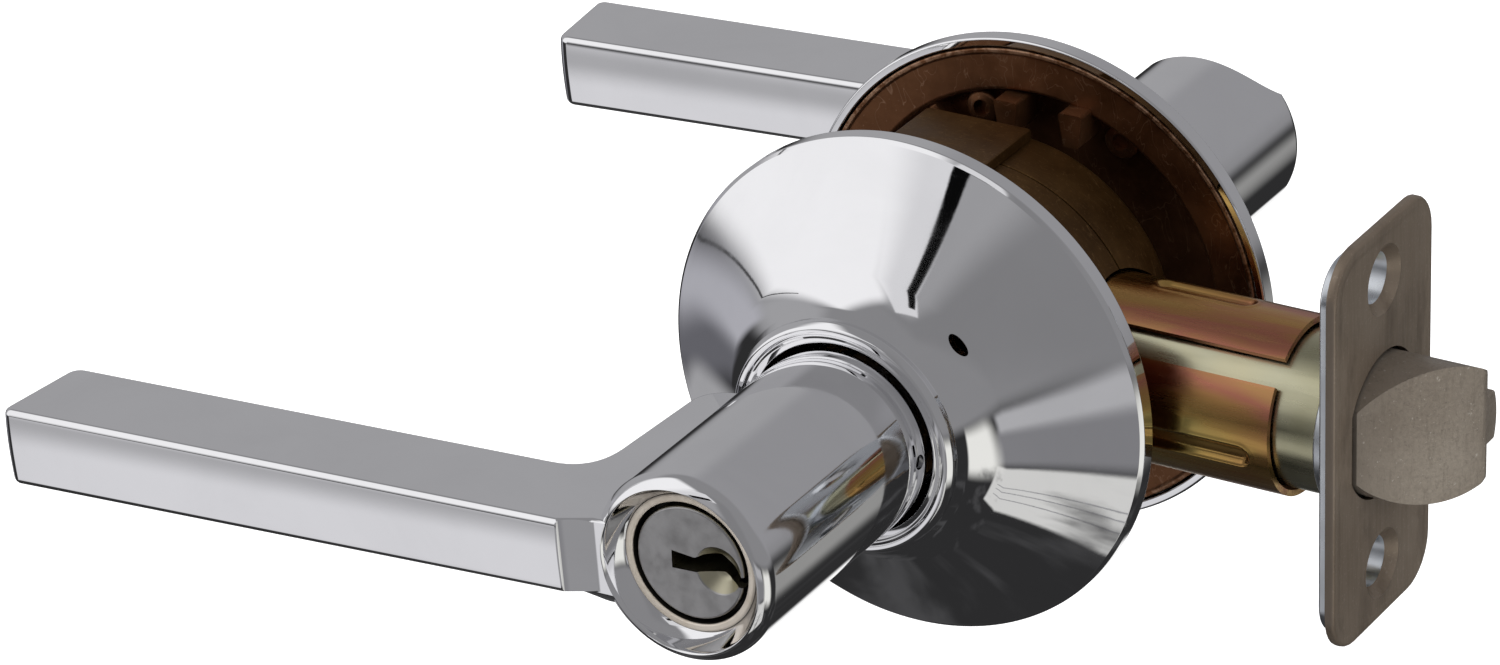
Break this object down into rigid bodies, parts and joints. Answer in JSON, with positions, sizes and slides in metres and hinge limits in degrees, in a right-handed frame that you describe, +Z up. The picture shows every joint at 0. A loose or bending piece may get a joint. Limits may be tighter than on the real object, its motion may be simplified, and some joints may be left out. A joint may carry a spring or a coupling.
{
  "type": "lever handle lockset",
  "caption": "Keyed lever handle lockset: straight levers on conical round roses, cylindrical chassis and deadlocking spring latch with radius-corner faceplate",
  "frame": {"origin": "where the spindle axis crosses the latch axis, in the middle of the door's thickness", "axes": "+X along the latch to the door's edge, -Y to the keyed exterior side, +Z up; both resting levers point to -X"},
  "size_m": [0.1763, 0.1507, 0.0706],
  "materials": {
    "polished_chrome": "polished",
    "satin_nickel_steel": "satin",
    "cast_dark_zinc": "dark brown passivated casting",
    "yellow_zinc_steel": "yellow passivated zinc plate",
    "olive_zinc_steel": "pale passivated zinc plate",
    "bright_zinc_steel": "bright zinc plate",
    "spring_steel": "plain wire and strip",
    "brass": "machined",
    "nickel_plated_plug": "satin nickel plate on brass"
  },
  "bodies": {
    "chassis": {"exterior_rose": "polished_chrome", "interior_rose": "polished_chrome", "exterior_mounting_plate": "cast_dark_zinc", "interior_mounting_plate": "cast_dark_zinc", "exterior_lock_ring": "bright_zinc_steel", "interior_lock_ring": "bright_zinc_steel", "exterior_return_spring": "spring_steel", "interior_return_spring": "spring_steel", "mounting_screw_1": "bright_zinc_steel", "mounting_screw_2": "bright_zinc_steel", "chassis_exterior_half": "cast_dark_zinc", "chassis_interior_half": "cast_dark_zinc", "chassis_cap": "cast_dark_zinc", "retractor_spring_upper": "spring_steel", "retractor_spring_lower": "spring_steel", "faceplate": "satin_nickel_steel", "backplate": "bright_zinc_steel", "latch_tube": "olive_zinc_steel", "latch_sleeve_upper": "yellow_zinc_steel", "latch_sleeve_lower": "yellow_zinc_steel", "bolt_spring": "spring_steel"},
    "exterior_lever_set": {"exterior_lever": "polished_chrome", "exterior_spindle": "bright_zinc_steel", "exterior_lever_catch": "spring_steel", "exterior_catch_spring": "spring_steel", "cylinder_shell": "brass", "driver_pin_1": "brass", "driver_pin_2": "brass", "driver_pin_3": "brass", "driver_pin_4": "brass", "driver_pin_5": "brass", "pin_spring_1": "spring_steel", "pin_spring_2": "spring_steel", "pin_spring_3": "spring_steel", "pin_spring_4": "spring_steel", "pin_spring_5": "spring_steel"},
    "plug": {"key_plug": "nickel_plated_plug", "plug_clip": "spring_steel", "tailpiece": "bright_zinc_steel", "key_pin_1": "brass", "key_pin_2": "brass", "key_pin_3": "brass", "key_pin_4": "brass", "key_pin_5": "brass"},
    "interior_lever_set": {"interior_lever": "polished_chrome", "interior_spindle": "bright_zinc_steel", "interior_lever_catch": "spring_steel", "interior_catch_spring": "spring_steel", "button_guide": "bright_zinc_steel", "button_spring": "spring_steel"},
    "button_carrier": {"button_retainer": "spring_steel"},
    "button": {"turn_button": "polished_chrome", "lock_bar": "bright_zinc_steel"},
    "retractor_yoke": {"retractor": "bright_zinc_steel"},
    "bolt": {"latch_bolt": "satin_nickel_steel", "latch_tail": "bright_zinc_steel", "plunger_stop": "satin_nickel_steel", "plunger_spring": "spring_steel"},
    "deadlatch": {"deadlatch_plunger": "satin_nickel_steel"}
  },
  "joints": [
    {"name": "exterior_lever_turn", "type": "hinge", "parent": "chassis", "child": "exterior_lever_set", "pos_m": [0, -0.04, 0], "axis": [0, -1, 0], "range_deg": [0, 45], "stiffness_Nm_per_rad": 1.2, "springref_deg": -34.38},
    {"name": "interior_lever_turn", "type": "hinge", "parent": "chassis", "child": "interior_lever_set", "pos_m": [0, 0.04, 0], "axis": [0, -1, 0], "range_deg": [0, 45], "stiffness_Nm_per_rad": 1.2, "springref_deg": -34.38},
    {"name": "key_turn", "type": "hinge", "parent": "exterior_lever_set", "child": "plug", "pos_m": [0, -0.062, 0], "axis": [0, 1, 0], "range_deg": [0, 90]},
    {"name": "button_push", "type": "slide", "parent": "interior_lever_set", "child": "button_carrier", "axis": [0, -1, 0], "range_m": [0, 0.003], "stiffness_N_per_m": 400, "springref_m": -0.004, "deforming": ["button_spring"]},
    {"name": "button_turn", "type": "hinge", "parent": "button_carrier", "child": "button", "pos_m": [0, 0.068, 0], "axis": [0, 1, 0], "range_deg": [0, 90]},
    {"name": "retractor_slide", "type": "slide", "parent": "chassis", "child": "retractor_yoke", "axis": [-1, 0, 0], "range_m": [0, 0.012], "deforming": ["retractor_spring_upper", "retractor_spring_lower"]},
    {"name": "latch_bolt_slide", "type": "slide", "parent": "chassis", "child": "bolt", "axis": [-1, 0, 0], "range_m": [0, 0.012], "deforming": ["bolt_spring"]},
    {"name": "deadlatch_push", "type": "slide", "parent": "bolt", "child": "deadlatch", "axis": [-1, 0, 0], "range_m": [0, 0.008], "stiffness_N_per_m": 120, "springref_m": -0.006, "deforming": ["plunger_spring"]}
  ],
  "couplings": [
    {"joint": "retractor_slide", "follows": "exterior_lever_turn", "m_per_rad": 0.015278},
    {"joint": "latch_bolt_slide", "follows": "exterior_lever_turn", "m_per_rad": 0.015278}
  ]
}
